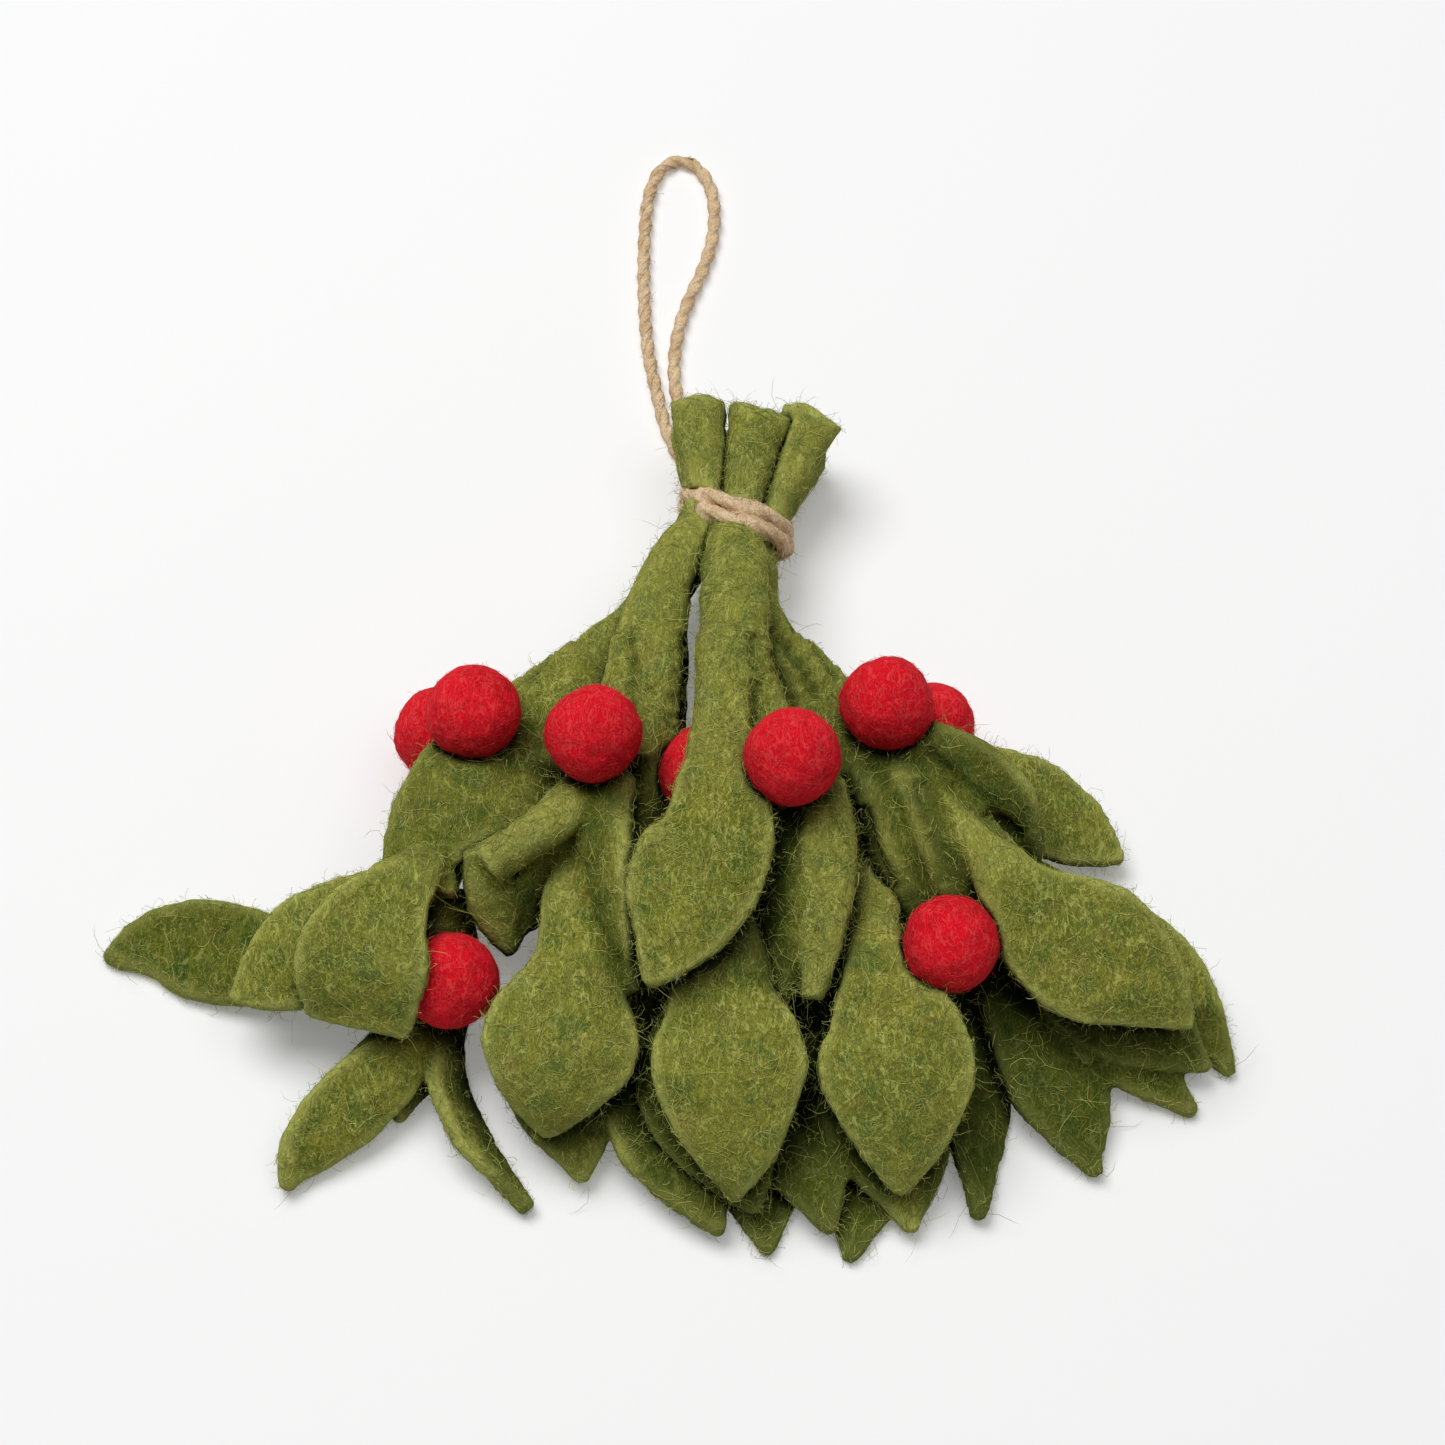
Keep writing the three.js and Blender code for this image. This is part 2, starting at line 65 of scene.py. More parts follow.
camera_data = bpy.data.cameras.new("camera")
camera_data.lens = FOCAL_PIXELS / FRAME_PIXELS * SENSOR
camera_data.sensor_width = SENSOR
camera_data.clip_start = 0.01
camera = bpy.data.objects.new("camera", camera_data)
back = Vector((0, -math.cos(VIEW_HEIGHT), math.sin(VIEW_HEIGHT)))
camera.location = VIEW_TARGET + VIEW_DISTANCE * back
camera.rotation_euler = back.to_track_quat("Z", "Y").to_euler()
bpy.context.scene.collection.objects.link(camera)
bpy.context.scene.camera = camera

# ---- node and mesh helpers --------------------------------------------------------------


class Look:
    """A material under construction: adds nodes and joins them by name."""

    def __init__(self, name):
        self.material = bpy.data.materials.new(name)
        self.material.use_nodes = True
        self.tree = self.material.node_tree
        self.tree.nodes.clear()
        self.shader = self.tree.nodes.new("ShaderNodeBsdfPrincipled")
        out = self.tree.nodes.new("ShaderNodeOutputMaterial")
        self.tree.links.new(self.shader.outputs[0], out.inputs["Surface"])
        self.place = self.tree.nodes.new("ShaderNodeTexCoord").outputs["Object"]

    def put(self, socket, value):
        if isinstance(value, bpy.types.NodeSocket):
            self.tree.links.new(value, socket)
        else:
            socket.default_value = value

    def node(self, kind, output=0, inputs=(), **settings):
        made = self.tree.nodes.new("ShaderNode" + kind)
        for key, value in settings.items():
            setattr(made, key, value)
        for key, value in dict(inputs).items():
            self.put(made.inputs[key], value)
        return made.outputs[output]

    def moved(self, turn, stretch, shift=(0, 0, 0)):
        return self.node("Mapping", inputs={
            "Vector": self.place, "Rotation": turn, "Scale": stretch, "Location": shift})

    def noise(self, scale, where=None, detail=2.0, rough=0.5, bend=0.0):
        return self.node("TexNoise", inputs={
            "Vector": where or self.place, "Scale": scale, "Detail": detail,
            "Roughness": rough, "Distortion": bend})

    def math(self, operation, a, b=0.0):
        return self.node("Math", inputs={0: a, 1: b}, operation=operation)

    def attribute(self, name):
        return self.node("Attribute", 2, attribute_name=name)

    def ramp(self, value, low, high, start=0.0, end=1.0):
        return self.node("MapRange", inputs={
            "Value": value, "From Min": low, "From Max": high,
            "To Min": start, "To Max": end}, interpolation_type="SMOOTHSTEP")

    def mix(self, share, a, b):
        made = self.tree.nodes.new("ShaderNodeMix")
        made.data_type = "RGBA"
        self.put(made.inputs["Factor"], share)
        self.put(made.inputs["A"], a)
        self.put(made.inputs["B"], b)
        return made.outputs["Result"]

    def threads(self, turn, stretch, scale, width, bend=1.2):
        """Thin curling lines where a stretched noise crosses its middle value."""
        value = self.noise(scale, self.moved(turn, stretch), detail=1.0, bend=bend)
        off = self.math("ABSOLUTE", self.math("SUBTRACT", value, 0.5))
        return self.ramp(off, 0.0, width, 1.0, 0.0)

    def surface(self, colour, roughness, specular):
        self.put(self.shader.inputs["Base Color"], colour)
        self.shader.inputs["Roughness"].default_value = roughness
        self.shader.inputs["Specular IOR Level"].default_value = specular

    def relief(self, height, strength, distance):
        bump = self.node("Bump", inputs={
            "Height": height, "Strength": strength, "Distance": distance})
        self.put(self.shader.inputs["Normal"], bump)


def rgb(red, green, blue):
    """A display colour, 0 to 255, as the shader's linear one."""
    def linear(v):
        v = v / 255
        return v / 12.92 if v <= 0.04045 else ((v + 0.055) / 1.055) ** 2.4
    return (linear(red), linear(green), linear(blue), 1.0)


def link(name, mesh):
    piece = bpy.data.objects.new(name, mesh)
    bpy.context.scene.collection.objects.link(piece)
    return piece


def final_mesh(piece):
    graph = bpy.context.evaluated_depsgraph_get()
    return bpy.data.meshes.new_from_object(piece.evaluated_get(graph))


def applied(piece):
    """The piece with its modifiers made part of its mesh."""
    old, piece.data = piece.data, final_mesh(piece)
    piece.modifiers.clear()
    bpy.data.meshes.remove(old)
    return piece


def points_of(mesh):
    flat = np.empty(len(mesh.vertices) * 3)
    mesh.vertices.foreach_get("co", flat)
    return flat.reshape(-1, 3)


def normals_of(mesh):
    flat = np.empty(len(mesh.vertices) * 3)
    mesh.vertices.foreach_get("normal", flat)
    return flat.reshape(-1, 3)


def move_points(mesh, points):
    mesh.vertices.foreach_set("co", points.astype(np.float32).ravel())
    mesh.update()


def edges_of(mesh):
    flat = np.empty(len(mesh.edges) * 2, dtype=np.int64)
    mesh.edges.foreach_get("vertices", flat)
    return flat.reshape(-1, 2)


def spread_out(values, edges, share, passes):
    """Each point's value drawn towards its neighbours' mean, passes times."""
    a, b = edges[:, 0], edges[:, 1]
    count = np.bincount(edges.ravel(), minlength=len(values))[:, None]
    values = values.copy()
    for _ in range(passes):
        total = np.zeros_like(values)
        for axis in range(values.shape[1]):
            total[:, axis] = (np.bincount(a, values[b, axis], len(values))
                              + np.bincount(b, values[a, axis], len(values)))
        values += share * (total / count - values)
    return values


def label(mesh, name, values):
    layer = mesh.attributes.new(name, "FLOAT", "POINT")
    layer.data.foreach_set("value", values.astype(np.float32))


def smooth_shaded(mesh):
    mesh.polygons.foreach_set("use_smooth", [True] * len(mesh.polygons))


def field(points, wavelength, seed, waves=18):
    """A smooth random field: sums of sines in seeded directions, about -1 to 1."""
    draw = np.random.default_rng(seed)
    total = np.zeros(len(points))
    for _ in range(waves):
        heading = draw.normal(size=3)
        heading /= np.linalg.norm(heading)
        length = wavelength * draw.uniform(0.7, 1.5)
        total += np.sin(points @ heading * 2 * math.pi / length + draw.uniform(0, 6.3))
    return total / math.sqrt(waves / 2)


# ---- finishes ---------------------------------------------------------------------------


def web_of(look, layers):
    """The most of several layers of threads, each (turn, stretch, scale, width)."""
    web = None
    for turn, stretch, scale, width in layers:
        lines = look.threads(turn, stretch, scale, width)
        web = lines if web is None else look.math("MAXIMUM", web, lines)
    return web


def green_felt():
    look = Look("green_felt")
    yellow, mid = rgb(144, 143, 48), rgb(114, 120, 35)
    moss, bark, deep = rgb(68, 100, 38), rgb(134, 114, 58), rgb(44, 56, 14)
    broad = look.noise(75, detail=2, bend=0.5)
    patch = look.noise(170, detail=4, rough=0.65)
    other = look.noise(150, look.moved((0.4, 1.0, 0.2), (1, 1, 1), (3, 1, 7)), detail=4)
    # Mottled wool: broad yellow and green areas with mossy and brown patches.
    colour = look.mix(look.ramp(broad, 0.38, 0.62), mid, yellow)
    colour = look.mix(look.ramp(patch, 0.49, 0.64, 0, 0.85), colour, moss)
    colour = look.mix(look.ramp(other, 0.55, 0.7, 0, 0.6), colour, bark)
    # Dark gaps between the fibres, pale short ones over them and long curls on top.
    under = web_of(look, [
        ((0.9, 0.3, 0.8), (1.0, 0.3, 1.0), 620, 0.06),
        ((0.1, 1.2, 2.0), (1.0, 0.3, 0.9), 700, 0.06),
        ((0.7, 0.9, 1.2), (1.0, 0.4, 0.9), 330, 0.03)])
    over = web_of(look, [
        ((0.2, 0.1, 0.3), (1.0, 0.3, 1.0), 560, 0.035),
        ((0.5, 0.4, 1.5), (1.0, 0.25, 0.8), 640, 0.035),
        ((1.0, 0.2, 2.4), (1.0, 0.25, 1.0), 720, 0.035)])
    curls = web_of(look, [
        ((0.3, 0.5, 0.9), (1.0, 0.5, 0.9), 250, 0.014),
        ((1.1, 0.1, 2.1), (0.9, 0.5, 1.0), 310, 0.016),
        ((0.6, 0.8, 2.9), (1.0, 0.4, 1.0), 370, 0.018)])
    grain = look.noise(1600, detail=2, rough=0.6)
    colour = look.mix(look.ramp(grain, 0.4, 0.62, 0.35, 0.0), colour, deep)
    colour = look.mix(look.math("MULTIPLY", under, 0.35), colour, deep)
    colour = look.mix(look.math("MULTIPLY", over, 0.35), colour, rgb(186, 190, 96))
    colour = look.mix(look.math("MULTIPLY", curls, 0.45), colour, rgb(208, 208, 118))
    # Pale cut edges; darker felt on some leaves plus painted shade on leaves under others, in
    # folds and seams and on steep sides; and painted shade where other felt hides the sky.
    rim, dark, hidden_sky = (look.attribute(name) for name in ("rim", "dark", "hidden_sky_shade"))
    colour = look.mix(look.math("MULTIPLY", rim, 0.7), colour, rgb(190, 192, 104))
    # Darker felt and painted shade, as the dark attribute gives them.
    colour = look.mix(dark, colour, look.mix(0.8, colour, rgb(36, 56, 13)))
    # Painted shade, nearly black, where other felt hides the sky above a point.
    colour = look.mix(look.ramp(hidden_sky, 0.05, 0.8), colour, rgb(16, 26, 6))
    look.surface(colour, 0.95, 0.05)
    lift = look.math("MAXIMUM", over, curls)
    lift = look.math("SUBTRACT", look.math("ADD", lift, grain), look.math("MULTIPLY", under, 0.6))
    look.relief(lift, 0.6, 0.22 * MM)
    return look.material


def red_felt():
    look = Look("red_felt")
    base, deep, bright = rgb(234, 20, 40), rgb(172, 6, 22), rgb(250, 96, 92)
    broad = look.noise(160, detail=3)
    colour = look.mix(look.ramp(broad, 0.35, 0.65, 0, 0.4), base, deep)
    web = web_of(look, [
        ((0.3, 0.9, 0.3), (1.0, 0.25, 1.0), 620, 0.035),
        ((1.2, 0.2, 1.7), (0.8, 0.25, 1.0), 700, 0.035),
        ((0.6, 1.4, 2.6), (0.9, 0.25, 1.0), 560, 0.03)])
    grain = look.noise(1700, detail=2, rough=0.6)
    colour = look.mix(look.ramp(grain, 0.42, 0.6, 0.35, 0.0), colour, deep)
    colour = look.mix(look.math("MULTIPLY", web, 0.35), colour, bright)
    look.surface(colour, 0.9, 0.1)
    lift = look.math("ADD", look.math("MULTIPLY", web, 0.6), grain)
    look.relief(lift, 0.5, 0.2 * MM)
    return look.material


def jute():
    look = Look("jute_twine")
    broad = look.noise(260, detail=3)
    colour = look.mix(look.ramp(broad, 0.35, 0.7), rgb(240, 214, 176), rgb(214, 184, 144))
    fine = look.noise(2200, detail=3, rough=0.65)
    colour = look.mix(look.ramp(fine, 0.4, 0.6, 0.5, 0.0), colour, rgb(170, 134, 94))
    look.surface(colour, 0.85, 0.2)
    look.relief(fine, 0.8, 0.2 * MM)
    return look.material


def strand_finish(name, dark, light):
    """Loose fibres: each strand has its own place between two tones."""
    look = Look(name)
    look.surface(look.mix(look.attribute("tone"), dark, light), 0.8, 0.2)
    return look.material


GREEN_FELT, RED_FELT, JUTE = green_felt(), red_felt(), jute()
GREEN_WOOL = strand_finish("green_wool", rgb(104, 118, 32), rgb(226, 226, 128))
RED_WOOL = strand_finish("red_wool", rgb(190, 14, 26), rgb(240, 96, 88))
JUTE_FIBRE = strand_finish("jute_fibre", rgb(166, 130, 90), rgb(250, 238, 210))


def finish(piece, material, slot, *nodes):
    piece.data.materials.clear()
    piece.data.materials.append(material)
    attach(piece, "root")
    if nodes:
        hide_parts(*nodes)
    return piece


# ---- twine ------------------------------------------------------------------------------

PLY_RADIUS, PLY_OFFSET = 1.08 * MM, 0.43 * MM
PLY_RIDGES, RIDGE_HEIGHT = 6, 0.09        # fibre ridges, as a share of the radius
PLY_TURN = 9.5 * MM                       # length of a full turn of the plies
TWINE_STEP = 0.65 * MM
CENTRE = Vector((1.1, -5.7, 0))           # of the layout, in millimetres


def through(points, step):
    """Points a step apart along a smooth curve through the given ones."""
    rows = [2 * points[0] - points[1], *points, 2 * points[-1] - points[-2]]
    fine = []
    for a, b, c, d in zip(rows, rows[1:], rows[2:], rows[3:]):
        for k in range(12):
            t = k / 12
            fine.append(0.5 * (2 * b + (c - a) * t + (2 * a - 5 * b + 4 * c - d) * t ** 2
                               + (3 * b - a - 3 * c + d) * t ** 3))
    fine.append(points[-1])
    run = np.array([tuple(p) for p in fine])
    lengths = np.concatenate([[0], np.cumsum(np.linalg.norm(np.diff(run, axis=0), axis=1))])
    marks = np.linspace(0, lengths[-1], round(lengths[-1] / step) + 1)
    return np.stack([np.interp(marks, lengths, run[:, i]) for i in range(3)], axis=1)


def ply_profile():
    """The twine's section: two round plies side by side, each with fibre ridges."""
    data = bpy.data.curves.new("twine_section", "CURVE")
    data.dimensions = "2D"
    spline = data.splines.new("POLY")
    spline.use_cyclic_u = True
    outline = []
    for side in (1, -1):
        for k in range(15):
            turn = math.radians(-126 + 18 * k)
            reach = PLY_RADIUS * (1 + RIDGE_HEIGHT * math.cos(PLY_RIDGES * turn))
            outline.append((side * (PLY_OFFSET + reach * math.cos(turn)),
                            side * reach * math.sin(turn)))
    spline.points.add(len(outline) - 1)
    for point, (x, y) in zip(spline.points, outline):
        point.co = (x, y, 0, 1)
    section = bpy.data.objects.new("twine_section", data)
    bpy.context.scene.collection.objects.link(section)
    return section


def twine_piece(name, line, swell=1.0, twist=PLY_TURN):
    """Two-ply twine along a line of points, twisted as it goes."""
    section = ply_profile()
    data = bpy.data.curves.new(name, "CURVE")
    data.dimensions = "3D"
    data.twist_mode = "MINIMUM"
    data.bevel_mode = "OBJECT"
    data.bevel_object = section
    data.use_fill_caps = True
    spline = data.splines.new("POLY")
    spline.points.add(len(line) - 1)
    step = float(np.linalg.norm(line[1] - line[0]))
    for k, (point, co) in enumerate(zip(spline.points, line)):
        point.co = (*co, 1)
        point.tilt = 2 * math.pi * k * step / twist
        point.radius = swell
    path = link(name + "_path", data)
    bm = bmesh.new()
    bm.from_mesh(final_mesh(path))
    for spent in (path, section):
        bpy.data.objects.remove(spent)
    bmesh.ops.remove_doubles(bm, verts=bm.verts, dist=1e-7)
    bmesh.ops.recalc_face_normals(bm, faces=bm.faces)
    clean = bpy.data.meshes.new(name)
    bm.to_mesh(clean)
    bm.free()
    smooth_shaded(clean)
    return link(name, clean)


LOOP_ROUTE = [
    (6.5, 82.9, 3.4), (5, 89, 2.5), (1.5, 97, 1.7), (-2, 106, 1.6), (-4, 115, 1.6),
    (-6, 126, 1.6), (-7, 138, 1.6), (-7.3, 151, 1.6), (-7, 163, 1.6), (-6, 171.5, 1.6),
    (-3.6, 177.5, 1.6), (0.5, 180, 1.6), (4.7, 178, 1.6), (7.6, 172.5, 1.6), (8.6, 165, 1.6),
    (8, 157, 1.6), (5.8, 148.5, 1.6), (3, 141, 1.6), (0.8, 133, 1.6), (-0.2, 125, 1.6),
    (0, 117, 1.6), (1.6, 109.5, 1.6), (4.4, 102, 1.6), (7.6, 94, 1.8), (9.8, 88, 2.5),
    (10.6, 82.4, 3.4)]

loop_line = through([(Vector(p) + CENTRE) * MM for p in LOOP_ROUTE], TWINE_STEP)
loop = twine_piece("hanging_loop_twine", loop_line)
finish(loop, JUTE, "jute_twine", "hanging_loop")

TIE_CENTRE = Vector((13.2, 72.5, 16)) + CENTRE
TIE_HALF_WIDTH, TIE_HALF_HEIGHT = 10.4, 11
TIE_LEAN = (-0.32, -0.42)
TIE_TURNS, TIE_START, TIE_PITCH = 2.1, -0.15, 3.85
TIE_SWELL, TIE_PLY_TURN = 1.38, 24 * MM   # loose, flattened twine


def tie_point(turn):
    a = 2 * math.pi * (TIE_START + turn)
    dx, dz = TIE_HALF_WIDTH * math.cos(a), TIE_HALF_HEIGHT * math.sin(a)
    dy = TIE_LEAN[0] * dx + TIE_LEAN[1] * dz + (turn - TIE_TURNS / 2) * TIE_PITCH
    return (TIE_CENTRE + Vector((dx, dy, dz))) * MM


tie_line = through([tie_point(TIE_TURNS * k / 40) for k in range(41)], TWINE_STEP)
tie = twine_piece("twine_tie_twine", tie_line, TIE_SWELL, TIE_PLY_TURN)
finish(tie, JUTE, "jute_twine", "twine_tie")

# ---- felt sprigs ------------------------------------------------------------------------

VOXEL = 0.78 * MM
EDGE_ANGLE, EDGE_CREASE = math.radians(48), 0.9
SKIN_OUT = 0.1                            # of the felt over the CAD faces, millimetres
LUMPS = ((0.16, 11, 3), (0.07, 4, 5))     # height and width in millimetres, and seed
RIM_HEIGHT, RIM_PASSES = 0.32 * MM, 12    # how far a cut edge stands over its smoothed form
TOP_START, TOP_FADE, TOP_UNEVEN = 86, 8, 0.5
TABLE_GAP = 0.02 * MM
STEEP_SHADE, SEAM_SHADE = 0.5, 0.9

# Leaves cut from darker felt, with painted shade on leaves lying under others, as runs
# from one point to another with a radius round them, in millimetres of the layout, and how
# much darker they are.
DARK_FADE = 3
DARK_FELT_AND_SHADE = [
    ((44, 12, 28), (60, 3, 32), 9, 0.7), ((60, 3, 32), (73, -11, 22), 9, 0.7),
    ((42, 5, 26), (48, -19, 21), 7, 0.9), ((50, -2, 28), (58, -20, 23), 7, 0.8),
    ((56, -30, 13), (60, -78, 4), 13, 0.9), ((66, -34, 13), (83, -70, 3), 14, 0.8),
    ((23, -6, 32), (22, -40, 24), 7.5, 0.9), ((-13, -6, 31), (-7, -42, 23), 7, 0.7),
    ((-16, -4, 26), (-28, -25, 17), 7, 0.7), ((-34, -20, 25), (-30, -26, 16), 6, 0.4),
    ((36, -60, 6), (30, -88, 3), 13, 0.8), ((-5, -50, 10), (10, -86, 4), 12, 0.7),
    ((-42, -26, 10), (-28, -78, 3), 8, 0.7), ((90, -46, 8), (112, -50, 2), 14, 0.6),
    ((18, -55, 3), (19, -88, 2), 12, 0.8), ((-20, -70, 5), (-17, -75, 3), 10, 0.5),
    ((-76, -25, 6), (-112, -23, 2), 15, 0.5), ((-48, -6, 27), (-36, 8, 24), 17, 0.4),
    ((-40, -50, 14), (-24, -76, 3), 4.5, 0.6),
    ((65, -40, 12), (76, -70, 5), 12, 0.6), ((26, -48, 7), (31, -82, 4), 9, 0.7),
    ((10, 96, 22), (10, 82, 21), 4, 0.5), ((25, 90, 18), (22, 78, 17), 4, 0.6),
    ((40, 5, 28), (49, -14, 24), 7, 0.55), ((48, 6, 27), (57, -11, 24), 7, 0.55),
    ((56, 7, 28), (71, -10, 22), 9, 0.6)]

# Where a cluster of leaves is sewn round its stem, the felt steps out: sprig and y.
COLLARS = {"sprig_centre_front": 33.5, "sprig_left_front": 37, "sprig_left_back": 40.5,
           "sprig_right_back": 40.5}
COLLAR_STEP, COLLAR_EDGE, COLLAR_LENGTH = 1.3, 1.2, 30

# Stitched seams down the clusters, each a run of points near the surface.
SEAMS = {
    "sprig_centre_front": [[(16, 32, 35), (17, 20.5, 37), (17.5, 9, 38)]],
    "sprig_left_front": [[(-8.5, 36.5, 31), (-7.5, 25.5, 32), (-8, 11.5, 33)],
                         [(2.5, 37, 28), (3, 27, 28), (3, 14.5, 28)]],
    "sprig_left_back": [[(-20, 41, 22), (-24.5, 37, 21), (-30, 30, 20)]],
    "sprig_right_back": [[(25.5, 41, 25), (30, 34, 26), (34, 26, 27)],
                         [(22, 37, 26), (26, 29.5, 28), (29.5, 21, 29)]],
}
STITCH, SEAM_DEPTH, SEAM_WIDTH, PUCKER = 3.1, 1.8, 1.2, 0.5

# Unsewn folds where one rolled leaf presses against the next.
FOLDS = {
    "sprig_right_back": [[(38, -3, 28), (40, -13, 27), (44, -21, 25)],
                         [(50, 3, 28), (52, -8, 27), (55, -19, 25)],
                         [(51, 8, 30), (61, -3, 28), (70, -9, 24)]],
    "sprig_left_back": [[(-41, -16, 28), (-39, -27, 25)],
                        [(-27, -8, 29), (-25, -19, 27), (-24, -28, 24)]],
}
FOLD_DEPTH, FOLD_WIDTH = 2.2, 1.7
SEAM_REACH = 9                            # of a seam's points from the surface


def dark_felt_and_shade(points):
    """How far each point of a sprig is in the darker felt and painted shade, from 0 to 1."""
    at = points / MM - np.array(CENTRE)
    dark = np.zeros(len(points))
    for start, end, radius, amount in DARK_FELT_AND_SHADE:
        start, run = np.array(start), np.array(end) - np.array(start)
        share = np.clip((at - start) @ run / (run @ run), 0, 1)
        away = np.linalg.norm(at - start - share[:, None] * run, axis=1)
        dark = np.maximum(dark, amount * np.clip((radius - away) / DARK_FADE, 0, 1))
    return dark


def seamed(node, points, normals):
    """Shifts along the normals for a sprig's collar, seams and folds, and the painted shade in
    their grooves.
    """
    at = points / MM - np.array(CENTRE)
    shift, shade = np.zeros(len(points)), np.zeros(len(points))
    if node in COLLARS:
        below = COLLARS[node] - at[:, 1]
        step = np.clip(below / COLLAR_EDGE, 0, 1) * np.clip(1 - below / COLLAR_LENGTH, 0, 1)
        shift += COLLAR_STEP * step * np.clip(0.3 + normals[:, 2], 0, 1)
    view = np.array(back)
    flat = at - (at @ view)[:, None] * view
    grooves = [(seam, SEAM_DEPTH, SEAM_WIDTH, PUCKER, 0.2) for seam in SEAMS.get(node, [])]
    grooves += [(fold, FOLD_DEPTH, FOLD_WIDTH, 0, 0) for fold in FOLDS.get(node, [])]
    for route, depth, width, pucker, pinch in grooves:
        run = 0
        for start, end in zip(route, route[1:]):
            start, end = np.array(start), np.array(end)
            near = np.abs((at - start) @ view) < SEAM_REACH
            start, end = start - (start @ view) * view, end - (end @ view) * view
            long = np.linalg.norm(end - start)
            along = (flat - start) @ (end - start) / long
            foot = start + (along / long)[:, None] * (end - start)
            away = np.linalg.norm(flat - foot, axis=1)
            near = near & (along >= 0) & (along < long) & (normals @ view > 0)
            place = run + along
            wave = np.cos(2 * math.pi * place / STITCH + 1.2 * np.sin(0.7 * place))
            groove = np.exp(-(away / width) ** 2) * (0.8 + pinch * wave)
            ridge = np.exp(-((away - 2.4) / 1.2) ** 2) * wave
            shift += near * (pucker * ridge - depth * groove)
            # Painted shade along the groove.
            shade = np.maximum(shade, near * groove)
            run += long
    return shift, shade


def felt_body(node):
    """A finer copy of a sprig: curved faces, soft cut edges and the sheet's own lumps."""
    bm = bmesh.new()
    bm.from_mesh(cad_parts[node].data)
    bmesh.ops.remove_doubles(bm, verts=bm.verts, dist=0.01 * MM)
    bmesh.ops.join_triangles(bm, faces=bm.faces, angle_face_threshold=0.35,
                             angle_shape_threshold=0.8)
    crease = bm.edges.layers.float.new("crease_edge")
    for edge in bm.edges:
        if edge.is_manifold and edge.calc_face_angle(0) > EDGE_ANGLE:
            edge[crease] = EDGE_CREASE
    mesh = bpy.data.meshes.new(node + "_felt")
    bm.to_mesh(mesh)
    bm.free()
    piece = link(node + "_felt", mesh)
    curved = piece.modifiers.new("curved", "SUBSURF")
    curved.levels = curved.render_levels = 2
    skin = piece.modifiers.new("skin", "REMESH")
    skin.mode = "VOXEL"
    skin.voxel_size = VOXEL
    applied(piece)
    mesh = piece.data
    edges = edges_of(mesh)
    points = points_of(mesh)
    # Smoothing in and out again, which rounds the voxel steps without shrinking.
    for _ in range(6):
        points = spread_out(points, edges, 0.5, 2)
        points = spread_out(points, edges, -0.53, 2)
    move_points(mesh, points)
    rounded = spread_out(points, edges, 0.5, RIM_PASSES)
    normals = normals_of(mesh)
    proud = ((points - rounded) * normals).sum(axis=1) / RIM_HEIGHT
    rim = spread_out(np.clip(proud, 0, 1)[:, None], edges, 0.5, 2)[:, 0]
    lumps = sum(height * field(points, width * MM, seed) for height, width, seed in LUMPS)
    shift, shade = seamed(node, points, normals)
    points = points + normals * ((SKIN_OUT + lumps + shift) * MM)[:, None]
    top = np.clip((points[:, 1] / MM - CENTRE.y - TOP_START) / TOP_FADE, 0, 1)
    points[:, 1] += TOP_UNEVEN * MM * top * field(points, 9 * MM, 8)
    points[:, 2] = np.maximum(points[:, 2], TABLE_GAP)
    move_points(mesh, points)
    label(mesh, "rim", np.clip(rim, 0, 1))
    # Painted shade on steep and downward-facing sides: the less a face looks up, the darker.
    steep_side_shade = STEEP_SHADE * np.clip(0.8 - normals_of(mesh)[:, 2], 0, 1)
    # The dark attribute: darker felt, and painted shade on lower leaves, in grooves and on steep
    # sides.
    label(mesh, "dark", np.maximum.reduce([dark_felt_and_shade(points), SEAM_SHADE * shade, steep_side_shade]))
    smooth_shaded(mesh)
    return finish(piece, GREEN_FELT, "green_felt", node)


felt = {node: felt_body(node) for node in SPRIGS}

# ---- felted balls -----------------------------------------------------------------------


def felt_ball(node, seed):
    """A slightly uneven ball in the place of a CAD ball."""
    low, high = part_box(node)
    centre = (Vector(low) + Vector(high)) / 2
    radius = (high[2] - low[2]) / 2
    bm = bmesh.new()
    bmesh.ops.create_icosphere(bm, subdivisions=5, radius=radius)
    bmesh.ops.translate(bm, verts=bm.verts, vec=centre)
    mesh = bpy.data.meshes.new(node + "_wool")
    bm.to_mesh(mesh)
    bm.free()
    points = points_of(mesh)
    middle = np.array(centre)
    out = (points - middle) / radius
    wobble = 0.16 * field(points, 15 * MM, seed) + 0.07 * field(points, 3 * MM, seed + 50)
    points = middle + out * (radius + (wobble - 0.05) * MM)[:, None]
    move_points(mesh, points)
    smooth_shaded(mesh)
    return finish(link(node + "_wool", mesh), RED_FELT, "red_felt", node)


balls = {node: felt_ball(node, 11 + k) for k, node in enumerate(BALLS)}

# ---- painted shade where other felt hides the sky ---------------------------------------

SHUT_REACH = 45 * MM
SKY_RINGS = ((65, 4), (35, 6))            # degrees over the table, and directions in each


def surface_of(mesh):
    mesh.calc_loop_triangles()
    flat = np.empty(len(mesh.loop_triangles) * 3, dtype=np.int64)
    mesh.loop_triangles.foreach_get("vertices", flat)
    return points_of(mesh), flat.reshape(-1, 3)


def all_surfaces(pieces):
    points, triangles, count = [], [], 0
    for piece in pieces:
        own, faces = surface_of(piece.data)
        points += own.tolist()
        triangles += (faces + count).tolist()
        count += len(own)
    return BVHTree.FromPolygons(points, triangles)


